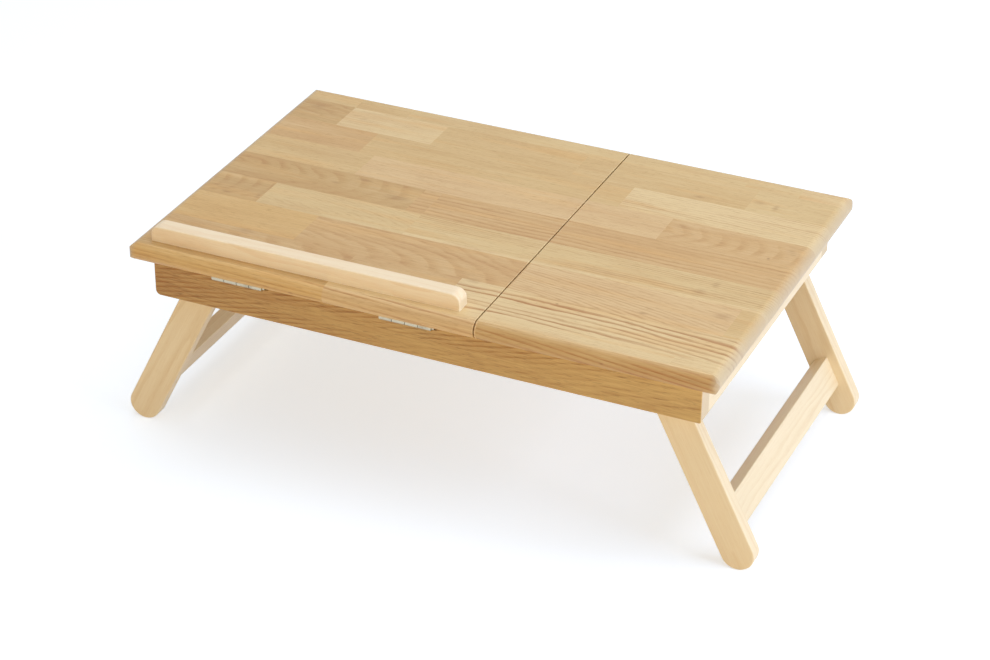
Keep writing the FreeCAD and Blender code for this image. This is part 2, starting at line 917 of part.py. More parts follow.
PIECES = {
    "front_rail": front_rail(),
    "rear_rail": rear_rail(),
    "left_side_rail": left_side_rail(),
    "right_side_rail": right_side_rail(),
    "centre_cross_rail": centre_cross_rail(),
    "frame_dowels": Part.makeCompound(frame_dowel_list()),
    "fixed_panel": fixed_panel(),
    "fixed_panel_screws": Part.makeCompound(fixed_panel_screw_list()),
    "left_rack": rack(-side_rail_inner),
    "right_rack": rack(cross_rail_left - rack_thickness),
    "rack_screws": Part.makeCompound(rack_screw_list()),
    "pivot_inserts": pivot_inserts(),
    "pivot_bolts": pivot_bolts(),
    "pivot_washers": pivot_washers(),
    "left_hinge_rail_leaf": rail_leaf(hinge_left_x),
    "right_hinge_rail_leaf": rail_leaf(hinge_right_x),
    "left_hinge_pin": placed(hinge_pin(hinge_length), hinge_left_x, hinge_y, hinge_z),
    "right_hinge_pin": placed(hinge_pin(hinge_length), hinge_right_x, hinge_y, hinge_z),
    "hinge_rail_screws": Part.makeCompound(rail_leaf_screw_list()),
    "tilting_panel": tilting_panel(),
    "book_ledge": book_ledge(),
    "ledge_screws": Part.makeCompound(ledge_screw_list()),
    "left_hinge_panel_leaf": panel_leaf(hinge_left_x),
    "right_hinge_panel_leaf": panel_leaf(hinge_right_x),
    "hinge_panel_screws": Part.makeCompound(panel_leaf_screw_list()),
    "left_prop_upper_leaf": prop_upper_leaf(left_stile_x),
    "right_prop_upper_leaf": prop_upper_leaf(right_stile_x),
    "left_prop_pin": placed(hinge_pin(stile_width), left_stile_x, prop_y, prop_z),
    "right_prop_pin": placed(hinge_pin(stile_width), right_stile_x, prop_y, prop_z),
    "prop_upper_screws": Part.makeCompound(prop_upper_screw_list()),
    "left_prop_stile": prop_stile(left_stile_x),
    "right_prop_stile": prop_stile(right_stile_x),
    "prop_foot_rail": prop_foot_rail(),
    "left_prop_lower_leaf": prop_lower_leaf(left_stile_x),
    "right_prop_lower_leaf": prop_lower_leaf(right_stile_x),
    "prop_lower_screws": Part.makeCompound(prop_lower_screw_list()),
    "right_front_leg": leg(-1),
    "right_rear_leg": leg(1),
    "right_stretcher": stretcher(),
    "right_stretcher_dowels": stretcher_dowels(),
    "left_front_leg": mirrored(leg(-1)),
    "left_rear_leg": mirrored(leg(1)),
    "left_stretcher": mirrored(stretcher()),
    "left_stretcher_dowels": mirrored(stretcher_dowels()),
}

os.makedirs("parts", exist_ok=True)
for name, shape in PIECES.items():
    shape.exportStep(f"parts/{name}.step")
    print(f"{name:26s} solids {len(shape.Solids):2d}  volume {shape.Volume:10.1f}  valid {shape.isValid()}")
print(f"prop reach {prop_reach:.2f}  leg pivot x {pivot_x:.2f}  leg reach {leg_reach:.2f}")
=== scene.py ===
"""Studio scene of the bed tray table: oiled oak strips, birch legs and plated butt hinges.

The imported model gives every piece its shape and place, in metres. The sizes that the
finishes use are millimetres, and a finish is laid out along the grain of its piece.
"""

import logging
import math
from dataclasses import dataclass, field, replace
from enum import Enum

import bpy
from mathutils import Euler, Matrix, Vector

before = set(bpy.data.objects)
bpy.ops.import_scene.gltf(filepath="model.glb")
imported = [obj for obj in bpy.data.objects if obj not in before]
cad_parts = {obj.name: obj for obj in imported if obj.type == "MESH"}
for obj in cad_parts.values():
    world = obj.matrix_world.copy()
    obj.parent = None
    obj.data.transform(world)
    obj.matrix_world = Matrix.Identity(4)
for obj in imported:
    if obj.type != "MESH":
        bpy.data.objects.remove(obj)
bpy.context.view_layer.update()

LOG = logging.getLogger("bed_tray_table")

Colour = tuple[float, float, float]
Triple = tuple[float, float, float]
Span = tuple[float, float]

MILLIMETRES = 1000.0
LEG_SPLAY = 26.6
TOP_HEIGHT = 205.0

NOISE_MIDDLE = 0.5
WHITE: Colour = (1.0, 1.0, 1.0)
FULL_PART = 255
SRGB_KNEE = 0.04045
SRGB_SLOPE = 12.92
SRGB_OFFSET = 0.055
SRGB_POWER = 2.4


def paint(red: int, green: int, blue: int) -> Colour:
    """Turns a colour as seen on a screen into the light that it stands for.

    Args:
        red: The red part, from 0 to 255.
        green: The green part, from 0 to 255.
        blue: The blue part, from 0 to 255.

    Returns:
        The three parts as shares of full light.
    """
    shares = [part / FULL_PART for part in (red, green, blue)]
    return tuple(
        share / SRGB_SLOPE
        if share <= SRGB_KNEE
        else ((share + SRGB_OFFSET) / (1 + SRGB_OFFSET)) ** SRGB_POWER
        for share in shares
    )


# -------------------- shader building


class Value:
    """A number or colour that varies over a surface; arithmetic on it adds Math nodes."""

    def __init__(self, maker: "SurfaceMaker", socket: bpy.types.NodeSocket) -> None:
        """Keeps the socket and the maker whose tree it belongs to."""
        self.maker = maker
        self.socket = socket

    def sibling(self, name: str) -> "Value":
        """Another output of the same node."""
        return Value(self.maker, self.socket.node.outputs[name])

    def __add__(self, other: "Value | float") -> "Value":
        """This value plus another."""
        return self.maker.math("ADD", self, other)

    def __radd__(self, other: float) -> "Value":
        """A number plus this value."""
        return self.maker.math("ADD", other, self)

    def __sub__(self, other: "Value | float") -> "Value":
        """This value less another."""
        return self.maker.math("SUBTRACT", self, other)

    def __rsub__(self, other: float) -> "Value":
        """A number less this value."""
        return self.maker.math("SUBTRACT", other, self)

    def __mul__(self, other: "Value | float") -> "Value":
        """This value times another."""
        return self.maker.math("MULTIPLY", self, other)

    def __rmul__(self, other: float) -> "Value":
        """A number times this value."""
        return self.maker.math("MULTIPLY", other, self)

    def __truediv__(self, other: "Value | float") -> "Value":
        """This value divided by another."""
        return self.maker.math("DIVIDE", self, other)

    def __abs__(self) -> "Value":
        """The size of this value without its sign."""
        return self.maker.math("ABSOLUTE", self)

    def __gt__(self, other: "Value | float") -> "Value":
        """One where this value is the greater, and nought elsewhere."""
        return self.maker.math("GREATER_THAN", self, other)

    def least(self, other: "Value | float") -> "Value":
        """The smaller of this value and another."""
        return self.maker.math("MINIMUM", self, other)

    def most(self, other: "Value | float") -> "Value":
        """The greater of this value and another."""
        return self.maker.math("MAXIMUM", self, other)

    def fraction(self) -> "Value":
        """What is left of this value above the whole number below it."""
        return self.maker.math("FRACT", self)

    def rise(self, low: float, high: float) -> "Value":
        """A smooth rise from nought to one.

        Args:
            low: Where the rise starts.
            high: Where it reaches one; below low, the rise becomes a fall.

        Returns:
            The share of the rise that this value has reached.
        """
        return self.maker.add(
            "ShaderNodeMapRange",
            {"interpolation_type": "SMOOTHSTEP"},
            {"Value": self, "From Min": low, "From Max": high},
        )


@dataclass(frozen=True)
class Patch:
    """The grain of soft noise.

    Attributes:
        size: How long a patch is along each axis, in millimetres.
        detail: How many finer layers are added.
    """

    size: Triple
    detail: float = 2.0


class SurfaceMaker:
    """Adds nodes to one shader tree."""

    def __init__(self, tree: bpy.types.NodeTree) -> None:
        """Starts from an empty tree."""
        tree.nodes.clear()
        self.tree = tree

    def add(
        self,
        kind: str,
        settings: dict[str, object] | None = None,
        sockets: dict[int | str, object] | None = None,
        output: int | str = 0,
    ) -> Value | None:
        """Adds one node.

        Args:
            kind: The node's type.
            settings: Its settings, which are set first; "stops" are a ramp's stops.
            sockets: Numbers or values for its inputs, by name or number.
            output: The output to give back.

        Returns:
            The chosen output, or None from a node that has no outputs.
        """
        node = self.tree.nodes.new(kind)
        for name, setting in (settings or {}).items():
            if name == "stops":
                self._set_stops(node.color_ramp, setting)
            else:
                setattr(node, name, setting)
        for name, value in (sockets or {}).items():
            if isinstance(value, Value):
                self.tree.links.new(value.socket, node.inputs[name])
            else:
                node.inputs[name].default_value = value
        return Value(self, node.outputs[output]) if len(node.outputs) else None

    @staticmethod
    def _set_stops(ramp: bpy.types.ColorRamp, stops: list[tuple]) -> None:
        """Gives a ramp its stops, with one colour up to the next stop.

        Args:
            ramp: The ramp, with its two first stops.
            stops: Pairs of a place from 0 to 1 and four parts of a colour.
        """
        ramp.interpolation = "CONSTANT"
        ramp.elements.remove(ramp.elements[1])
        for number, (place, colour) in enumerate(stops):
            stop = ramp.elements[0] if number == 0 else ramp.elements.new(place)
            stop.position = place
            stop.color = colour

    def math(self, operation: str, *terms: "Value | float") -> Value:
        """One Math node on values or numbers."""
        return self.add("ShaderNodeMath", {"operation": operation}, dict(enumerate(terms)))

    def vector(self, operation: str, *terms: "Value | Triple") -> Value:
        """One Vector Math node on vectors."""
        return self.add("ShaderNodeVectorMath", {"operation": operation}, dict(enumerate(terms)))

    def mix(self, share: "Value | float", first: "Value | tuple", second: "Value | tuple") -> Value:
        """Mixes two colours.

        Args:
            share: How much of the second colour shows, from 0 to 1.
            first: The colour where the share is 0.
            second: The colour where the share is 1.

        Returns:
            The mixed colour.
        """
        colours = [c if isinstance(c, Value) else (*c[:3], 1.0) for c in (first, second)]
        return self.add(
            "ShaderNodeMix",
            {"data_type": "RGBA"},
            {0: share, 6: colours[0], 7: colours[1]},
            output=2,
        )

    def parts(self, vector: Value) -> tuple[Value, Value, Value]:
        """The three numbers of a vector."""
        first = self.add("ShaderNodeSeparateXYZ", None, {0: vector})
        return first, first.sibling("Y"), first.sibling("Z")

    def ramp(self, stops: list[tuple], share: Value) -> Value:
        """The stop of a colour ramp that a share from 0 to 1 falls on."""
        return self.add("ShaderNodeValToRGB", {"stops": stops}, {"Fac": share})

    def channels(self, colour: Value) -> Value:
        """The red part of a colour, with its green and blue parts as siblings."""
        return self.add("ShaderNodeSeparateColor", None, {0: colour})

    def length(self, vector: Value) -> Value:
        """How long a vector is."""
        return self.add("ShaderNodeVectorMath", {"operation": "LENGTH"}, {0: vector}, "Value")

    def noise(self, place: Value, patch: Patch) -> Value:
        """Soft noise with a grain of its own.

        Args:
            place: The point on the surface, in millimetres.
            patch: The grain of the noise.

        Returns:
            Noise around 0.5.
        """
        scaled = self.vector("DIVIDE", place, patch.size)
        return self.add(
            "ShaderNodeTexNoise", None, {"Vector": scaled, "Scale": 1.0, "Detail": patch.detail}
        )

    def sway(self, place: Value, patch: Patch) -> Value:
        """Soft noise around nought instead of 0.5."""
        return self.noise(place, patch) - NOISE_MIDDLE

    def finish(self, relief: dict[str, object], sockets: dict[str, object]) -> None:
        """Ends the tree with a shader that has a relief.

        Args:
            relief: The strength, distance and height of the relief.
            sockets: Numbers or values for the shader's other inputs.
        """
        bump = self.add("ShaderNodeBump", None, relief)
        shader = self.add("ShaderNodeBsdfPrincipled", None, {**sockets, "Normal": bump})
        self.add("ShaderNodeOutputMaterial", None, {"Surface": shader})


def new_material(name: str) -> tuple[bpy.types.Material, SurfaceMaker]:
    """Starts a material.

    Args:
        name: Its name.

    Returns:
        The material, and the maker of its empty tree.
    """
    material = bpy.data.materials.new(name)
    material.use_nodes = True
    return material, SurfaceMaker(material.node_tree)


# -------------------- how a piece lies


class Lie(Enum):
    """How the grain of a piece lies, as the turn that brings it onto +X."""

    ALONG_LENGTH = (0.0, 0.0, 0.0)
    ALONG_DEPTH = (0.0, 0.0, -90.0)
    UP_RIGHT_LEG = (0.0, 90.0 + LEG_SPLAY, 0.0)
    UP_LEFT_LEG = (0.0, 90.0 - LEG_SPLAY, 0.0)
    ACROSS_RIGHT_LEGS = (0.0, 90.0 + LEG_SPLAY, -90.0)
    ACROSS_LEFT_LEGS = (0.0, 90.0 - LEG_SPLAY, -90.0)

    def turn(self) -> Triple:
        """The turn about each axis, in radians."""
        return tuple(math.radians(angle) for angle in self.value)

    def box(self, node: str) -> tuple[Vector, Vector]:
        """Measures a piece along its own grain.

        Args:
            node: The piece's name.

        Returns:
            Its centre and half of its size in millimetres, turned with the grain.
        """
        turn = Euler(self.turn()).to_matrix()
        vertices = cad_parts[node].data.vertices
        points = [turn @ vertex.co * MILLIMETRES for vertex in vertices]
        low = Vector([min(point[i] for point in points) for i in range(3)])
        high = Vector([max(point[i] for point in points) for i in range(3)])
        return (low + high) / 2, (high - low) / 2


class Coded(Enum):
    """A choice that a strip hands to the shader as a number."""

    def code(self) -> float:
        """This member's place among the members, from 0 to 1."""
        members = list(type(self))
        return (members.index(self) + 0.5) / len(members)


class Tone(Coded):
    """The colours that oak strips come in."""

    PALE = paint(226, 201, 153)
    STRAW = paint(217, 190, 139)
    HONEY = paint(213, 183, 130)
    ROSY = paint(219, 188, 140)
    RUSSET = paint(208, 172, 120)
    BROWN = paint(200, 166, 112)
    AMBER = paint(215, 179, 119)


class Figure(Coded):
    """How a strip's rings show: the strength of the lines, their wander and their width."""

    QUIET = (0.35, 6.0, 2.4)
    FINE = (0.95, 5.0, 3.2)
    STRAIGHT = (1.0, 5.0, 5.5)
    BOLD = (1.95, 8.0, 7.0)
    FLAME = (0.7, 17.0, 6.2)
    STREAKY = (1.8, 3.5, 3.8)

    def parts(self) -> tuple[float, ...]:
        """This figure's three numbers as the parts of a colour."""
        strength, wander, width = self.value
        return strength / STRENGTH_SPAN, wander / WANDER_SPAN, width / WIDTH_SPAN, 1.0


# -------------------- finishes

# How far a piece's pattern is moved along each axis by its seed, and a strip's by chance.
SEED_SPREAD = (911.3, 373.7, 157.9)
STRIP_SPREAD = (900.0, 500.0, 300.0)
CHANCE_SPREAD = 97.0

# The growth rings: how they wander, how a line falls and rises, and how its strength varies.
WANDER = Patch((150.0, 30.0, 30.0), 3.0)
LINE_FALL = (0.55, 0.06)
LINE_RISE = (0.9, 1.0)
LINE_PATCH = Patch((240.0, 9.0, 9.0), 1.0)
LINE_SWING = 2.6
LINE_DROP = 0.6
LINE_REACH = (0.0, 1.2)

# The open pores: where the noise is high enough for one, and how much lines add to it.
PORE_PATCH = Patch((9.0, 0.5, 0.5), 1.0)
PORE_REACH = (0.58, 0.72)
PORES_ON_LINES = 0.08

# The wood's colour: how dark plain wood and its lines are, and how much end grain shows.
MOTTLE = Patch((120.0, 22.0, 22.0))
PLAIN_SHADE = 0.35
LINE_SHADE = 0.5
END_SHARE = 0.7

# The rubbed edges: how far they reach, in millimetres, and how much lighter they are.
RUB_PATCH = Patch((14.0, 6.0, 6.0))
RUB_SWING = 2.2
RUB_DROP = 0.4
RUB_REACH = (2.0, 0.3)
RUB_LIGHT = 1.25

# The sheen and the relief of the wood.
SMEARS = Patch((70.0, 30.0, 30.0), 3.0)
SMEAR_ROUGHNESS = 0.16
PORE_ROUGHNESS = 0.12
RUB_POLISH = 0.05
FACE_HEIGHT = 0.6
LINE_SINK = 0.2
WOOD_RELIEF_DEPTH = 0.00012
COAT_ROUGHNESS = 0.28
WOOD_IOR = 1.45

# A ramp holds parts from 0 to 1, so these spans bring a strip's numbers into that range.
STRENGTH_SPAN = 2.0
WANDER_SPAN = 20.0
WIDTH_SPAN = 8.0
LEVEL_SPAN = 600.0
LEAN_SPAN = 0.5
HEART_SPAN = 300.0

# The rings in the strips: how deep the heart lies, how much of the way down from the top
# counts, and how much chance adds to the depth and to the count of rings.
STRIP_WANDER = Patch((110.0, 26.0, 26.0), 4.0)
HEART_DEPTH = 41.0
DEPTH_SHARE = 0.9
DEPTH_LUCK = 8.0
RING_LUCK = 7.0

# The strips' colour: how dark their lines are, and where a warmer flush shows.
STRIP_MOTTLE = Patch((110.0, 20.0, 20.0))
STRIP_LINE_SHADE = 0.42
FLUSH_PATCH = Patch((150.0, 13.0, 13.0), 3.0)
FLUSH_REACH = (0.46, 0.74)
FLUSH_SHARE = 0.45

# The knots and dark patches, and one band of painted shade: how far they reach in shares of their
# size, and how ragged.
THROUGH_BOARD = 1e4
RAGGED_PATCH = Patch((20.0, 3.5, 3.5), 3.0)
RAGGED_SWING = 1.5
MARK_REACH = (1.9, 0.5)

# The metals: where tarnish shows, and how rough it and the brushing are.
STAIN_PATCH = Patch((9.0, 7.0, 7.0), 3.0)
STAIN_REACH = (0.5, 0.75)
STAIN_SHARE = 0.5
STAIN_ROUGHNESS = 0.12
BRUSH_ROUGHNESS = 0.2
METAL_RELIEF_DEPTH = 0.00004


@dataclass(frozen=True)
class Timber:
    """One kind of oiled or varnished wood, with its grain through the whole piece.

    Attributes:
        name: What its materials' names start with.
        light: The colour between its ring lines.
        dark: The colour on the lines.
        pore: The colour of pores and knots.
        ring_width: How wide a ring is, in millimetres.
        line_strength: How strongly the lines show.
        wander: How far the lines stray to either side, in millimetres.
        heart: How far the tree's heart lies to the side and below.
        heart_slope: How far the heart sinks for each millimetre along the grain.
        drift: How much darker the colour is made from the piece's middle to its end at +X.
        fibre: How strongly the fibres show.
        fibre_patch: The grain of the fibres.
        pore_strength: How strongly the pores show.
        mottle: How strongly soft patches show.
        end_grain: The colour of the end grain.
        end_depth: How far in it reaches, in millimetres.
        edge_wear: How much lighter rubbed edges are.
        roughness: The roughness away from smears and pores.
        coat: How much varnish there is.
        relief: How strongly lines and pores stand out.
    """

    name: str
    light: Colour
    dark: Colour
    pore: Colour
    ring_width: float = 3.0
    line_strength: float = 0.5
    wander: float = 8.0
    heart: tuple[float, float] = (60.0, 12.0)
    heart_slope: float = 0.03
    drift: float = 0.0
    fibre: float = 0.5
    fibre_patch: Patch = Patch((38.0, 0.9, 0.9), 3.0)
    pore_strength: float = 0.3
    mottle: float = 0.5
    end_grain: Colour = paint(222, 207, 180)
    end_depth: float = 0.4
    edge_wear: float = 0.25
    roughness: float = 0.42
    coat: float = 0.12
    relief: float = 0.25

    def dress(self, node: str, lie: Lie, seed: float) -> None:
        """Gives a piece this wood.

        Args:
            node: The piece's name.
            lie: How its grain lies.
            seed: A number that sets its pattern apart from its neighbours'.
        """
        material, maker = new_material(f"{self.name}.{node}")
        place = grain_place(maker, lie)
        centre, half = lie.box(node)
        own = maker.vector("SUBTRACT", place, tuple(centre))
        seeded = maker.vector("ADD", own, tuple(seed * step for step in SEED_SPREAD))
        lines = self._rings(maker, own, seeded) * self.line_strength
        along, _, _ = maker.parts(own)
        drifted = lines + along * (self.drift / half[0])
        colour = self._wood(maker, seeded, drifted)
        colour = self._ended(maker, own, half[0], colour)
        worn = self._edges(maker, own, half, seeded)
        self._finish(maker, seeded, colour, lines, worn)
        put_on(node, material)

    def _rings(self, maker: SurfaceMaker, own: Value, seeded: Value) -> Value:
        """Growth rings round a heart beside the piece.

        Args:
            maker: The tree to add to.
            own: The point from the piece's centre.
            seeded: The same point, moved apart from other pieces.

        Returns:
            One on a ring's dark line, falling to nought between lines.
        """
        along, across, through = maker.parts(own)
        bend = 2 * self.wander * maker.sway(seeded, WANDER)
        side = across - self.heart[0] + bend
        depth = through + self.heart[1] + along * self.heart_slope
        radius = maker.math("SQRT", side * side + depth * depth)
        return ring_line(maker, radius / self.ring_width, seeded)

    def _wood(self, maker: SurfaceMaker, seeded: Value, lines: Value) -> Value:
        """The wood's colour.

        Args:
            maker: The tree to add to.
            seeded: The point, moved apart from other pieces.
            lines: The strength of the ring lines, with the drift along the piece.

        Returns:
            The colour from the lines, mottle, fibres and pores.
        """
        mottle = maker.sway(seeded, MOTTLE) * self.mottle
        fibre = maker.sway(seeded, self.fibre_patch) * self.fibre
        shade = PLAIN_SHADE + lines * LINE_SHADE + mottle + fibre
        colour = maker.mix(shade, self.light, self.dark)
        pores = pore_streaks(maker, seeded, lines) * self.pore_strength
        return maker.mix(pores, colour, self.pore)

    def _ended(self, maker: SurfaceMaker, own: Value, half: float, colour: Value) -> Value:
        """Shows the end grain.

        Args:
            maker: The tree to add to.
            own: The point from the middle of the wood.
            half: Half of the wood's length.
            colour: The wood's colour along its sides.

        Returns:
            The colour with end grain at both ends.
        """
        along, _, _ = maker.parts(own)
        share = abs(along).rise(half - self.end_depth, half) * END_SHARE
        return maker.mix(share, colour, self.end_grain)

    @staticmethod
    def _edges(maker: SurfaceMaker, own: Value, half: Vector, seeded: Value) -> Value:
        """Where hands and sanding rub the edges.

        Args:
            maker: The tree to add to.
            own: The point from the piece's centre.
            half: Half of the piece's size along its grain.
            seeded: The same point, moved apart from other pieces.

        Returns:
            One on a rubbed edge, nought away from the edges.
        """
        inside = maker.vector("SUBTRACT", tuple(half), maker.vector("ABSOLUTE", own))
        one, two, three = maker.parts(inside)
        near = one.least(two).most(one.most(two).least(three))
        uneven = maker.noise(seeded, RUB_PATCH) * RUB_SWING - RUB_DROP
        return (near + uneven).rise(*RUB_REACH)

    def _finish(
        self, maker: SurfaceMaker, seeded: Value, colour: Value, lines: Value, worn: Value
    ) -> None:
        """Joins the colour, sheen and relief into the shader.

        Args:
            maker: The tree to add to.
            seeded: The point, moved apart from other pieces.
            colour: The wood's colour.
            lines: The strength of its ring lines.
            worn: Where its edges are rubbed.
        """
        pale = tuple(min(1.0, part * RUB_LIGHT) for part in self.light)
        rubbed = maker.mix(worn * self.edge_wear, colour, pale)
        smears = maker.sway(seeded, SMEARS) * SMEAR_ROUGHNESS
        pores = pore_streaks(maker, seeded, lines)
        rough = self.roughness + smears + pores * PORE_ROUGHNESS - worn * RUB_POLISH
        height = FACE_HEIGHT - lines * LINE_SINK - pores * self.pore_strength
        maker.finish(
            {"Strength": self.relief, "Distance": WOOD_RELIEF_DEPTH, "Height": height},
            {
                "Base Color": rubbed,
                "Roughness": rough,
                "Coat Weight": self.coat,
                "Coat Roughness": COAT_ROUGHNESS,
                "IOR": WOOD_IOR,
            },
        )


def grain_place(maker: SurfaceMaker, lie: Lie) -> Value:
    """The point on the surface in millimetres, turned with the grain.

    Args:
        maker: The tree to add to.
        lie: How the grain lies.

    Returns:
        The point as a vector.
    """
    point = maker.add("ShaderNodeTexCoord", output="Object")
    return maker.add(
        "ShaderNodeMapping",
        {"vector_type": "POINT"},
        {"Vector": point, "Rotation": lie.turn(), "Scale": (MILLIMETRES,) * 3},
    )


def ring_line(maker: SurfaceMaker, turns: Value, seeded: Value) -> Value:
    """A ring's dark line with a sharp start and a soft end, of uneven strength.

    Args:
        maker: The tree to add to.
        turns: The number of rings out from the heart.
        seeded: The point on the surface, moved apart from other pieces.

    Returns:
        One on the line, nought between lines.
    """
    part = turns.fraction()
    line = part.rise(*LINE_FALL).most(part.rise(*LINE_RISE))
    uneven = maker.noise(seeded, LINE_PATCH) * LINE_SWING - LINE_DROP
    return line * uneven.rise(*LINE_REACH)


def pore_streaks(maker: SurfaceMaker, seeded: Value, lines: Value) -> Value:
    """Short open pores along the grain, more of them on the ring lines.

    Args:
        maker: The tree to add to.
        seeded: The point on the surface, moved apart from other pieces.
        lines: The strength of the ring lines.

    Returns:
        One in a pore, nought on solid wood.
    """
    streaks = maker.noise(seeded, PORE_PATCH)
    return (streaks + lines * PORES_ON_LINES).rise(*PORE_REACH)


@dataclass(frozen=True)
class Stave:
    """One strip of a row, up to its butt joint with the next.

    Attributes:
        until: Where the strip ends along the board.
        tone: Its colour.
        figure: How its rings show.
        seed: A number of its own, from 0 to 1.
        level: Where its rings run level with the board.
        lean: How far the tree's heart sinks for each millimetre away from there.
        heart: How far the heart lies behind the middle of the strip.
    """

    until: float
    tone: Tone
    figure: Figure
    seed: float
    level: float = 0.0
    lean: float = 0.03
    heart: float = -100.0

    def codes(self) -> tuple[float, ...]:
        """The strip's tone, figure and seed as a colour."""
        return self.tone.code(), self.figure.code(), self.seed, 1.0

    def tree(self) -> tuple[float, ...]:
        """Where the strip lay in its tree, as a colour."""
        level, heart = self.level / LEVEL_SPAN + 0.5, self.heart / HEART_SPAN + 0.5
        return level, self.lean / LEAN_SPAN, heart, 1.0


@dataclass(frozen=True)
class Row:
    """A row of strips, up to its back edge."""

    back: float
    staves: tuple[Stave, ...]


@dataclass(frozen=True)
class Mark:
    """A knot, a dark patch or a band of painted shade.

    Attributes:
        x: Where it lies along the board.
        y: Where it lies from front to back.
        length: Its size along the board.
        width: Its size from front to back.
        depth: How dark it is, from 0 to 1.
        z: How high it lies.
        height: Its size up and down.
    """

    x: float
    y: float
    length: float
    width: float
    depth: float
    z: float = TOP_HEIGHT
    height: float = THROUGH_BOARD


@dataclass(frozen=True)
class Spot:
    """What is known about the strip at a point of the board.

    Attributes:
        codes: Its tone, figure and seed, as the parts of a colour.
        tree: Where it lay in its tree, as the parts of a colour.
        middle: Where its middle lies from front to back.
        chance: Three numbers of its own, from 0 to 1.
    """

    codes: Value
    tree: Value
    middle: Value
    chance: Value


@dataclass(frozen=True)
class StripBoard(Timber):
    """A board glued up from rows of short oak strips, which run on across both panels.

    Attributes:
        board_length: The whole board's size along the grain.
        board_depth: Its size from front to back.
        rows: Its rows of strips, from front to back.
        marks: Its knots and dark patches, and a band of painted shade along the front.
        flush: The warmer colour that shows in places.
    """

    end_depth: float = 9.0
    board_length: float = 558.0
    board_depth: float = 360.0
    rows: tuple[Row, ...] = ()
    marks: tuple[Mark, ...] = ()
    flush: Colour = paint(222, 179, 115)

    def dress(self, node: str, lie: Lie, seed: float) -> None:
        """Gives a panel its part of the board.

        Args:
            node: The panel's name.
            lie: How its grain lies.
            seed: A number that sets the pattern of pores apart.
        """
        material, maker = new_material(f"{self.name}.{node}")
        place = grain_place(maker, lie)
        centre, half = lie.box(node)
        own = maker.vector("SUBTRACT", place, tuple(centre))
        spot = self._layout(maker, place, seed)
        offset = maker.vector("MULTIPLY", spot.chance, STRIP_SPREAD)
        seeded = maker.vector("ADD", place, offset)
        lines = self._stave_lines(maker, place, spot, seeded)
        colour = self._stave_colour(maker, spot, seeded, lines)
        colour = self._marked(maker, place, seeded, colour)
        colour = self._ended(maker, place, self.board_length / 2, colour)
        worn = self._edges(maker, own, half, seeded)
        self._finish(maker, seeded, colour, lines, worn)
        put_on(node, material)

    def _layout(self, maker: SurfaceMaker, place: Value, seed: float) -> Spot:
        """Finds the strip at a point.

        Args:
            maker: The tree to add to.
            place: The point on the board.
            seed: A number that sets the pattern of pores apart.

        Returns:
            What is known about that strip.
        """
        x, y, _ = maker.parts(place)
        share = x / self.board_length + 0.5
        codes = tree = middle = None
        front = centre = -self.board_depth / 2
        for row in self.rows:
            code_stops, tree_stops, start = [], [], 0.0
            for stave in row.staves:
                code_stops.append((start, stave.codes()))
                tree_stops.append((start, stave.tree()))
                start = stave.until / self.board_length + 0.5
            own_codes, own_tree = maker.ramp(code_stops, share), maker.ramp(tree_stops, share)
            shift = (front + row.back) / 2 - centre
            if codes is None:
                codes, tree, middle = own_codes, own_tree, centre + shift
            else:
                behind = y > front
                codes = maker.mix(behind, codes, own_codes)
                tree = maker.mix(behind, tree, own_tree)
                middle = middle + shift * behind
            centre += shift
            front = row.back
        codes = maker.channels(codes)
        tree = maker.channels(tree)
        chance = maker.add(
            "ShaderNodeTexWhiteNoise",
            {"noise_dimensions": "1D"},
            {"W": codes.sibling("Blue") * CHANCE_SPREAD + seed},
            output="Color",
        )
        return Spot(codes, tree, middle, chance)

    def _stave_lines(self, maker: SurfaceMaker, place: Value, spot: Spot, seeded: Value) -> Value:
        """The ring lines of the strip at a point.

        Args:
            maker: The tree to add to.
            place: The point on the board.
            spot: What is known about the strip.
            seeded: The point, moved apart from other strips.

        Returns:
            The strength of the lines.
        """
        stops = [(index / len(Figure), figure.parts()) for index, figure in enumerate(Figure)]
        strength = maker.channels(maker.ramp(stops, spot.codes.sibling("Green")))
        wander, width = strength.sibling("Green"), strength.sibling("Blue")
        lean, heart = spot.tree.sibling("Green"), spot.tree.sibling("Blue")
        luck_a, luck_b, _ = maker.parts(spot.chance)
        x, y, z = maker.parts(place)
        bend = maker.sway(seeded, STRIP_WANDER) * wander * (2 * WANDER_SPAN)
        side = y - spot.middle - (heart - 0.5) * HEART_SPAN + bend
        level = (spot.tree - 0.5) * LEVEL_SPAN
        sunk = (x - level) * lean * LEAN_SPAN + (luck_a - 0.5) * DEPTH_LUCK
        depth = sunk + HEART_DEPTH + (z - TOP_HEIGHT) * DEPTH_SHARE
        radius = maker.math("SQRT", side * side + depth * depth)
        turns = radius / (width * WIDTH_SPAN) + luck_b * RING_LUCK
        return ring_line(maker, turns, seeded) * strength * STRENGTH_SPAN

    def _stave_colour(self, maker: SurfaceMaker, spot: Spot, seeded: Value, lines: Value) -> Value:
        """The colour of the strip at a point.

        Args:
            maker: The tree to add to.
            spot: What is known about the strip.
            seeded: The point, moved apart from other strips.
            lines: The strength of the ring lines.

        Returns:
            The colour from the tone, lines, mottle, fibres, flush and pores.
        """
        stops = [(index / len(Tone), (*tone.value, 1.0)) for index, tone in enumerate(Tone)]
        base = maker.ramp(stops, spot.codes)
        mottle = maker.sway(seeded, STRIP_MOTTLE) * self.mottle
        fibre = maker.sway(seeded, self.fibre_patch) * self.fibre
        shade = lines * STRIP_LINE_SHADE + mottle + fibre
        flushed = maker.noise(seeded, FLUSH_PATCH).rise(*FLUSH_REACH) * FLUSH_SHARE
        colour = maker.mix(shade, maker.mix(flushed, base, self.flush), self.dark)
        lit = maker.mix(0.0 - shade, colour, self.light)
        pores = pore_streaks(maker, seeded, lines) * self.pore_strength
        return maker.mix(pores, lit, self.pore)

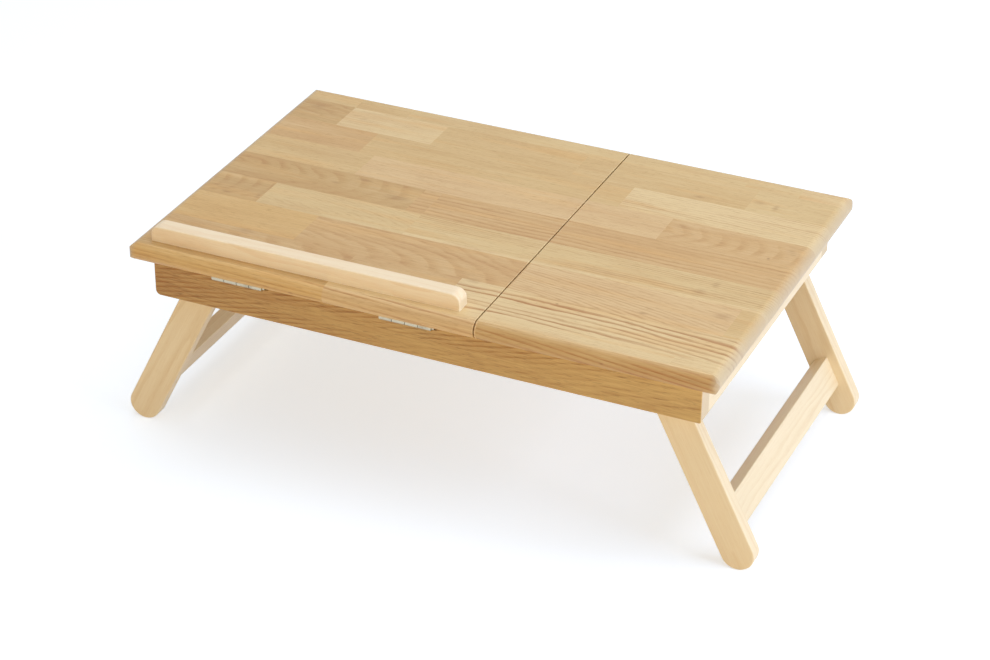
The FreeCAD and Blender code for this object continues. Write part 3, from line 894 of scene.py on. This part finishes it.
    def _marked(self, maker: SurfaceMaker, place: Value, seeded: Value, colour: Value) -> Value:
        """Adds the knots, dark patches and the band of painted shade to a colour.

        Args:
            maker: The tree to add to.
            place: The point on the board.
            seeded: The point, moved apart from other strips.
            colour: The wood's colour without marks.

        Returns:
            The colour with marks.
        """
        ragged = RAGGED_SWING * maker.noise(seeded, RAGGED_PATCH)
        darkest = None
        for mark in self.marks:
            off = maker.vector("SUBTRACT", place, (mark.x, mark.y, mark.z))
            shrunk = maker.vector("DIVIDE", off, (mark.length, mark.width, mark.height))
            dark = (maker.length(shrunk) + ragged).rise(*MARK_REACH) * mark.depth
            darkest = dark if darkest is None else darkest.most(dark)
        return maker.mix(darkest, colour, self.pore)


@dataclass(frozen=True)
class Metal:
    """A metal, brushed one way, with patches of tarnish.

    Attributes:
        name: The name of its material.
        colour: Its colour where it is clean.
        tarnish: Its colour where it is stained.
        roughness: Its roughness where it is clean.
        brush: The grain of its brushing.
        relief: How strongly the brushing stands out.
    """

    name: str
    colour: Colour
    tarnish: Colour
    roughness: float = 0.3
    brush: Patch = Patch((18.0, 0.25, 0.25))
    relief: float = 0.12

    def dress(self, *nodes: str) -> None:
        """Gives pieces this metal."""
        for node in nodes:
            put_on(node, bpy.data.materials.get(self.name) or self._make())

    def _make(self) -> bpy.types.Material:
        """Makes the metal.

        Returns:
            The material, which all pieces of this metal share.
        """
        material, maker = new_material(self.name)
        place = grain_place(maker, Lie.ALONG_LENGTH)
        brushing = maker.noise(place, self.brush)
        stain = maker.noise(place, STAIN_PATCH).rise(*STAIN_REACH)
        colour = maker.mix(stain * STAIN_SHARE, self.colour, self.tarnish)
        brushed = (brushing - NOISE_MIDDLE) * BRUSH_ROUGHNESS
        rough = self.roughness + brushed + stain * STAIN_ROUGHNESS
        maker.finish(
            {"Strength": self.relief, "Distance": METAL_RELIEF_DEPTH, "Height": brushing},
            {"Base Color": colour, "Metallic": 1.0, "Roughness": rough},
        )
        return material


def put_on(node: str, material: bpy.types.Material) -> None:
    """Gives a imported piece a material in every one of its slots.

    Args:
        node: The piece's name.
        material: Its new material.
    """
    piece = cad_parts[node]
    if not piece.material_slots:
        piece.data.materials.append(material)
    for slot in piece.material_slots:
        slot.link = "OBJECT"
        slot.material = material
    LOG.info("%s: %s", node, material.name)


# -------------------- the finishes in use

TOP_ROWS = (
    Row(-173.4, (
        Stave(-87, Tone.AMBER, Figure.STREAKY, 0.27, heart=-12, lean=0.02),
        Stave(59, Tone.ROSY, Figure.STREAKY, 0.93, level=200, lean=0.05, heart=-20),
        Stave(279, Tone.BROWN, Figure.STREAKY, 0.63, level=60, lean=0.09, heart=-24),
    )),
    Row(-158.0, (
        Stave(-87, Tone.BROWN, Figure.FINE, 0.11),
        Stave(232, Tone.PALE, Figure.QUIET, 0.83),
        Stave(279, Tone.PALE, Figure.QUIET, 0.31),
    )),
    Row(-112.0, (
        Stave(17, Tone.RUSSET, Figure.FLAME, 0.47, level=-95, lean=0.16, heart=6),
        Stave(279, Tone.PALE, Figure.BOLD, 0.73, level=290, lean=0.21, heart=-76),
    )),
    Row(-62.0, (
        Stave(-150, Tone.AMBER, Figure.QUIET, 0.19),
        Stave(59, Tone.RUSSET, Figure.FLAME, 0.59, level=-45, lean=0.22, heart=-26),
        Stave(256, Tone.ROSY, Figure.FINE, 0.05, level=40, lean=0.22, heart=-80),
        Stave(279, Tone.HONEY, Figure.QUIET, 0.37),
    )),
    Row(-57.0, (
        Stave(-214, Tone.BROWN, Figure.QUIET, 0.67),
        Stave(-66, Tone.STRAW, Figure.QUIET, 0.23),
        Stave(279, Tone.PALE, Figure.QUIET, 0.39),
    )),
    Row(-20.0, (
        Stave(-214, Tone.BROWN, Figure.FLAME, 0.67, level=-235, lean=0.4, heart=8),
        Stave(-66, Tone.STRAW, Figure.QUIET, 0.23, level=-120, lean=0.2, heart=-30),
        Stave(279, Tone.STRAW, Figure.FINE, 0.91),
    )),
    Row(25.0, (
        Stave(-84, Tone.BROWN, Figure.FLAME, 0.53, level=-150, lean=0.3, heart=4),
        Stave(279, Tone.RUSSET, Figure.STRAIGHT, 0.41, level=60, lean=0.02, heart=-90),
    )),
    Row(68.0, (
        Stave(-157, Tone.HONEY, Figure.QUIET, 0.79),
        Stave(142, Tone.ROSY, Figure.QUIET, 0.29),
        Stave(279, Tone.RUSSET, Figure.FLAME, 0.61, level=205, lean=0.35, heart=2),
    )),
    Row(111.0, (
        Stave(-175, Tone.RUSSET, Figure.QUIET, 0.13),
        Stave(88, Tone.HONEY, Figure.QUIET, 0.71),
        Stave(279, Tone.PALE, Figure.FINE, 0.89),
    )),
    Row(153.0, (
        Stave(-222, Tone.BROWN, Figure.FLAME, 0.17, level=-250, lean=0.4),
        Stave(-122, Tone.PALE, Figure.QUIET, 0.97),
        Stave(25, Tone.HONEY, Figure.QUIET, 0.43),
        Stave(196, Tone.HONEY, Figure.QUIET, 0.07),
        Stave(279, Tone.STRAW, Figure.QUIET, 0.77),
    )),
    Row(180.0, (
        Stave(-166, Tone.HONEY, Figure.QUIET, 0.03),
        Stave(180, Tone.STRAW, Figure.QUIET, 0.57),
        Stave(232, Tone.STRAW, Figure.QUIET, 0.33),
        Stave(279, Tone.PALE, Figure.QUIET, 0.87),
    )),
)

# The numbers are in the order of Mark's fields.
TOP_MARKS = tuple(
    Mark(*numbers)
    for numbers in (
        (110, -119, 2.2, 1.6, 0.9),
        (247, 33, 2.4, 2.2, 0.9),
        (182, -103, 5, 2.5, 0.5),
        (205, 130, 9, 6, 0.3),
        (221, 127, 4, 10, 0.35),
        (150, 118, 7, 3, 0.3),
        (-255, 141, 12, 9, 0.3),
        (-201, 134, 7, 4, 0.25),
        (-100, 0, 15, 8, 0.35),
        (-165, 3, 6, 3, 0.3),
        (-144, 19, 9, 3, 0.3),
        (-248, -55, 9, 4, 0.4),
        (-217, -50, 4, 8, 0.35),
        (213, -48, 7, 10, 0.3),
        (222, -30, 5, 9, 0.3),
        (246, -80, 12, 8, 0.25),
        (-195, -115, 14, 5, 0.3),
        (28, -112, 9, 5, 0.35),
        (158, 57, 12, 7, 0.25),
        (262, 55, 8, 9, 0.25),
        (-116, -180, 4, 6, 0.7, 193, 1.6),
        (-96, -180, 26, 6, 0.5, 193, 0.7),
        (176, -180, 3, 6, 0.7, 195, 1.5),
        (262, -180, 60, 7, 0.3, 199, 3),
        # The last mark darkens the rounded front edge and the upper part of the nose: painted shade
        # of the book ledge on the wood just in front of it, together with a darker band of
        # heartwood there.
        (0, -180, 330, 7, 0.16, 200.5, 3.5),
    )
)

OAK_TOP = StripBoard(
    name="oiled_oak_strips",
    end_grain=paint(196, 180, 156),
    light=paint(236, 214, 172),
    dark=paint(176, 120, 64),
    pore=paint(138, 84, 34),
    pore_strength=0.28,
    fibre=0.75,
    fibre_patch=Patch((42.0, 1.2, 1.2), 3.0),
    mottle=0.75,
    relief=0.3,
    rows=TOP_ROWS,
    marks=TOP_MARKS,
)
OAK_RAIL = Timber(
    name="oiled_oak_rail",
    light=paint(212, 180, 118),
    dark=paint(160, 104, 38),
    pore=paint(104, 66, 32),
    ring_width=4.4,
    line_strength=0.8,
    wander=11.0,
    heart=(14.0, 62.0),
    heart_slope=-0.2,
    # The drift makes the rail's colour lighter towards its right end.
    drift=-0.4,
    fibre=1.0,
    fibre_patch=Patch((28.0, 1.0, 1.0), 3.0),
    pore_strength=0.4,
    mottle=0.4,
    relief=0.35,
)
BIRCH = Timber(
    name="varnished_birch",
    light=paint(247, 234, 207),
    dark=paint(225, 200, 159),
    pore=paint(206, 170, 118),
    end_grain=paint(238, 222, 190),
    ring_width=7.0,
    line_strength=0.6,
    wander=14.0,
    heart=(16.0, 10.0),
    pore_strength=0.15,
    mottle=0.35,
    relief=0.12,
    roughness=0.38,
)
LEDGE_BIRCH = replace(
    BIRCH, name="varnished_birch_ledge", light=paint(255, 242, 216), dark=paint(241, 213, 175)
)
STEEL = Metal("plated_steel", paint(196, 186, 162), paint(138, 126, 104))
BRASS = Metal("insert_brass", paint(206, 172, 104), paint(140, 108, 60), roughness=0.34)


# -------------------- sub-assemblies


def both_sides(*names: str) -> tuple[str, ...]:
    """The names of the left and the right piece of each kind."""
    return tuple(f"{side}_{name}" for name in names for side in ("left", "right"))


@dataclass
class TopPanels:
    """The tilting panel and the fixed panel, cut from one board of strips."""

    finish: StripBoard = OAK_TOP
    panels: tuple[str, ...] = ("tilting_panel", "fixed_panel")
    seed: float = 0.0

    def dress(self) -> None:
        """Gives both panels the same board."""
        for panel in self.panels:
            self.finish.dress(panel, Lie.ALONG_LENGTH, self.seed)


@dataclass
class RailFrame:
    """The rails under the top, with their dowels, racks and screws."""

    oak: Timber = OAK_RAIL
    birch: Timber = BIRCH
    oak_rails: dict[str, float] = field(
        default_factory=lambda: {"front_rail": 0.37, "rear_rail": 0.71}
    )
    birch_rails: dict[str, float] = field(
        default_factory=lambda: {
            "left_side_rail": 0.13,
            "right_side_rail": 0.59,
            "centre_cross_rail": 0.83,
            "left_rack": 0.29,
            "right_rack": 0.47,
            "frame_dowels": 0.91,
        }
    )
    screws: tuple[str, ...] = ("fixed_panel_screws", "rack_screws")

    def dress(self) -> None:
        """Gives the long rails oak, the rest of the wood birch and the screws steel."""
        for rail, seed in self.oak_rails.items():
            self.oak.dress(rail, Lie.ALONG_LENGTH, seed)
        for rail, seed in self.birch_rails.items():
            self.birch.dress(rail, Lie.ALONG_DEPTH, seed)
        STEEL.dress(*self.screws)


@dataclass
class LegFrames:
    """Both folding leg frames with their pivots.

    Attributes:
        sides: How the grain lies up and across each frame.
        first_seed: The left frame's seed.
        side_step: How much further on the right frame's seed is.
        uprights: The pieces along the legs, with their steps from the frame's seed.
        crosspieces: The pieces across the legs, with theirs.
    """

    birch: Timber = BIRCH
    sides: dict[str, tuple[Lie, Lie]] = field(
        default_factory=lambda: {
            "left": (Lie.UP_LEFT_LEG, Lie.ACROSS_LEFT_LEGS),
            "right": (Lie.UP_RIGHT_LEG, Lie.ACROSS_RIGHT_LEGS),
        }
    )
    first_seed: float = 0.17
    side_step: float = 0.44
    uprights: dict[str, float] = field(
        default_factory=lambda: {"front_leg": 0.0, "rear_leg": 0.21}
    )
    crosspieces: dict[str, float] = field(
        default_factory=lambda: {"stretcher": 0.09, "stretcher_dowels": 0.15}
    )

    def dress(self) -> None:
        """Gives the legs and stretchers birch, and the pivots steel and brass."""
        for number, (side, (upright, crosswise)) in enumerate(self.sides.items()):
            seed = self.first_seed + self.side_step * number
            for pieces, lie in ((self.uprights, upright), (self.crosspieces, crosswise)):
                for piece, step in pieces.items():
                    self.birch.dress(f"{side}_{piece}", lie, seed + step)
        STEEL.dress("pivot_bolts", "pivot_washers")
        BRASS.dress("pivot_inserts")


@dataclass
class ButtHinges:
    """The two knuckled butt hinges of the tilting panel."""

    pieces: tuple[str, ...] = (
        *both_sides("hinge_rail_leaf", "hinge_panel_leaf", "hinge_pin"),
        "hinge_rail_screws",
        "hinge_panel_screws",
    )

    def dress(self) -> None:
        """Gives the leaves, pins and screws plated steel."""
        STEEL.dress(*self.pieces)


@dataclass
class BookLedge:
    """The bar that keeps a book on the tilted panel."""

    birch: Timber = LEDGE_BIRCH
    seed: float = 0.66

    def dress(self) -> None:
        """Gives the ledge birch and its screws steel."""
        self.birch.dress("book_ledge", Lie.ALONG_LENGTH, self.seed)
        STEEL.dress("ledge_screws")


@dataclass
class PropFrame:
    """The prop under the tilting panel, with its small hinges."""

    birch: Timber = BIRCH
    wood: dict[str, tuple[Lie, float]] = field(
        default_factory=lambda: {
            "left_prop_stile": (Lie.ALONG_DEPTH, 0.23),
            "right_prop_stile": (Lie.ALONG_DEPTH, 0.81),
            "prop_foot_rail": (Lie.ALONG_LENGTH, 0.39),
        }
    )
    metal: tuple[str, ...] = (
        *both_sides("prop_upper_leaf", "prop_lower_leaf", "prop_pin"),
        "prop_upper_screws",
        "prop_lower_screws",
    )

    def dress(self) -> None:
        """Gives the prop birch and its hinges steel."""
        for piece, (lie, seed) in self.wood.items():
            self.birch.dress(piece, lie, seed)
        STEEL.dress(*self.metal)


# -------------------- studio


@dataclass
class Lamp:
    """A soft square lamp that faces the table, in metres and watts."""

    name: str
    place: Triple
    size: float
    power: float
    colour: Colour
    aim: Triple = (0.0, 0.0, 0.12)

    def hang(self) -> None:
        """Puts the lamp in the studio."""
        light = bpy.data.lights.new(self.name, "AREA")
        light.size = self.size
        light.energy = self.power
        light.color = self.colour
        lamp = bpy.data.objects.new(self.name, light)
        bpy.context.scene.collection.objects.link(lamp)
        lamp.location = self.place
        ahead = Vector(self.aim) - Vector(self.place)
        lamp.rotation_euler = ahead.to_track_quat("-Z", "Y").to_euler()


@dataclass
class Studio:
    """A white floor, the sky, three soft lamps and the camera.

    Lengths are in metres, the lens and the sensor in millimetres, and turns in degrees.

    Attributes:
        floor_shade: The floor's colour near the table.
        floor_glow: How bright it is there without any light on it.
        floor_fade: Where its fade to plain white starts and ends.
        floor_bounce: Its colour for the light that it throws back.
        clip: The nearest and the furthest that the camera sees.
    """

    floor_size: float = 12.0
    floor_shade: Colour = (0.64, 0.735, 0.87)
    floor_glow: float = 0.55
    floor_fade: Span = (0.9, 2.2)
    floor_bounce: Colour = (1.0, 0.86, 0.62)
    sky: float = 0.3
    sky_colour: Colour = (1.0, 0.98, 0.94)
    lens: float = 100.99
    sensor: float = 36.0
    clip: Span = (0.05, 60.0)
    camera_place: Triple = (0.9046, -2.02135, 1.37883)
    camera_yaw: float = 24.1396
    camera_pitch: float = 30.2114
    camera_roll: float = 0.3987
    lamps: tuple[Lamp, ...] = (
        Lamp("overhead_lamp", (0.2, 0.3, 2.3), 2.2, 27.8, (1.0, 0.975, 0.93)),
        Lamp("cool_side_lamp", (2.3, -0.1, 0.9), 1.5, 33.0, (0.745, 0.835, 1.0)),
        Lamp("warm_front_lamp", (0.4, -2.8, 0.7), 1.8, 23.0, (1.0, 0.77, 0.46)),
    )

    def build(self) -> None:
        """Builds the floor, the sky, the lamps and the camera."""
        self._lay_floor()
        self._light_sky()
        for lamp in self.lamps:
            lamp.hang()
        self._set_camera()
        bpy.context.scene.view_settings.view_transform = "Standard"

    @staticmethod
    def _seen(maker: SurfaceMaker) -> Value:
        """One for rays that show the background: seen, mirrored or seen through glass."""
        path = maker.add("ShaderNodeLightPath", output="Is Camera Ray")
        return path.most(path.sibling("Is Glossy Ray")).most(path.sibling("Is Transmission Ray"))

    def _lay_floor(self) -> None:
        """Lays a floor that takes the table's shadow and fades to plain white further out."""
        half = self.floor_size / 2
        corners = [(-half, -half, 0.0), (half, -half, 0.0), (half, half, 0.0), (-half, half, 0.0)]
        mesh = bpy.data.meshes.new("studio_floor")
        mesh.from_pydata(corners, [], [(0, 1, 2, 3)])
        floor = bpy.data.objects.new("studio_floor", mesh)
        bpy.context.scene.collection.objects.link(floor)
        material, maker = new_material("studio_floor")
        matt = maker.add("ShaderNodeBsdfDiffuse", None, {"Color": (*self.floor_shade, 1.0)})
        glow = maker.add("ShaderNodeEmission", None, {"Strength": self.floor_glow})
        near = maker.add("ShaderNodeAddShader", None, {0: matt, 1: glow})
        faded = maker.length(maker.add("ShaderNodeTexCoord", output="Object"))
        faded = faded.rise(*self.floor_fade)
        white = maker.add("ShaderNodeEmission", None, {"Strength": 1.0})
        shown = maker.add("ShaderNodeMixShader", None, {0: faded, 1: near, 2: white})
        plain = maker.add("ShaderNodeBsdfDiffuse", None, {"Color": (*self.floor_bounce, 1.0)})
        both = maker.add("ShaderNodeMixShader", None, {0: self._seen(maker), 1: plain, 2: shown})
        maker.add("ShaderNodeOutputMaterial", None, {"Surface": both})
        mesh.materials.append(material)

    def _light_sky(self) -> None:
        """Makes a sky that looks white and lights the table softly."""
        world = bpy.data.worlds.new("studio_sky")
        world.use_nodes = True
        bpy.context.scene.world = world
        maker = SurfaceMaker(world.node_tree)
        lighting = tuple(self.sky * part for part in self.sky_colour)
        colour = maker.mix(self._seen(maker), lighting, WHITE)
        sky = maker.add("ShaderNodeBackground", None, {"Color": colour})
        maker.add("ShaderNodeOutputWorld", None, {"Surface": sky})

    def _set_camera(self) -> None:
        """Sets the camera where the photograph was taken from."""
        data = bpy.data.cameras.new("studio_camera")
        data.lens = self.lens
        data.sensor_width = self.sensor
        data.sensor_fit = "HORIZONTAL"
        data.clip_start, data.clip_end = self.clip
        camera = bpy.data.objects.new("studio_camera", data)
        bpy.context.scene.collection.objects.link(camera)
        camera.location = self.camera_place
        turn = Euler((math.radians(90.0 - self.camera_pitch), 0.0, math.radians(self.camera_yaw)))
        roll = Euler((0.0, 0.0, math.radians(self.camera_roll)))
        camera.rotation_euler = (turn.to_matrix() @ roll.to_matrix()).to_euler()
        bpy.context.scene.camera = camera


# -------------------- all together


def main() -> None:
    """Dresses every sub-assembly and builds the studio."""
    logging.basicConfig(level=logging.INFO, format="%(name)s %(message)s")
    for part in (TopPanels(), RailFrame(), LegFrames(), ButtHinges(), BookLedge(), PropFrame()):
        part.dress()
    Studio().build()


if __name__ == "__main__":
    main()
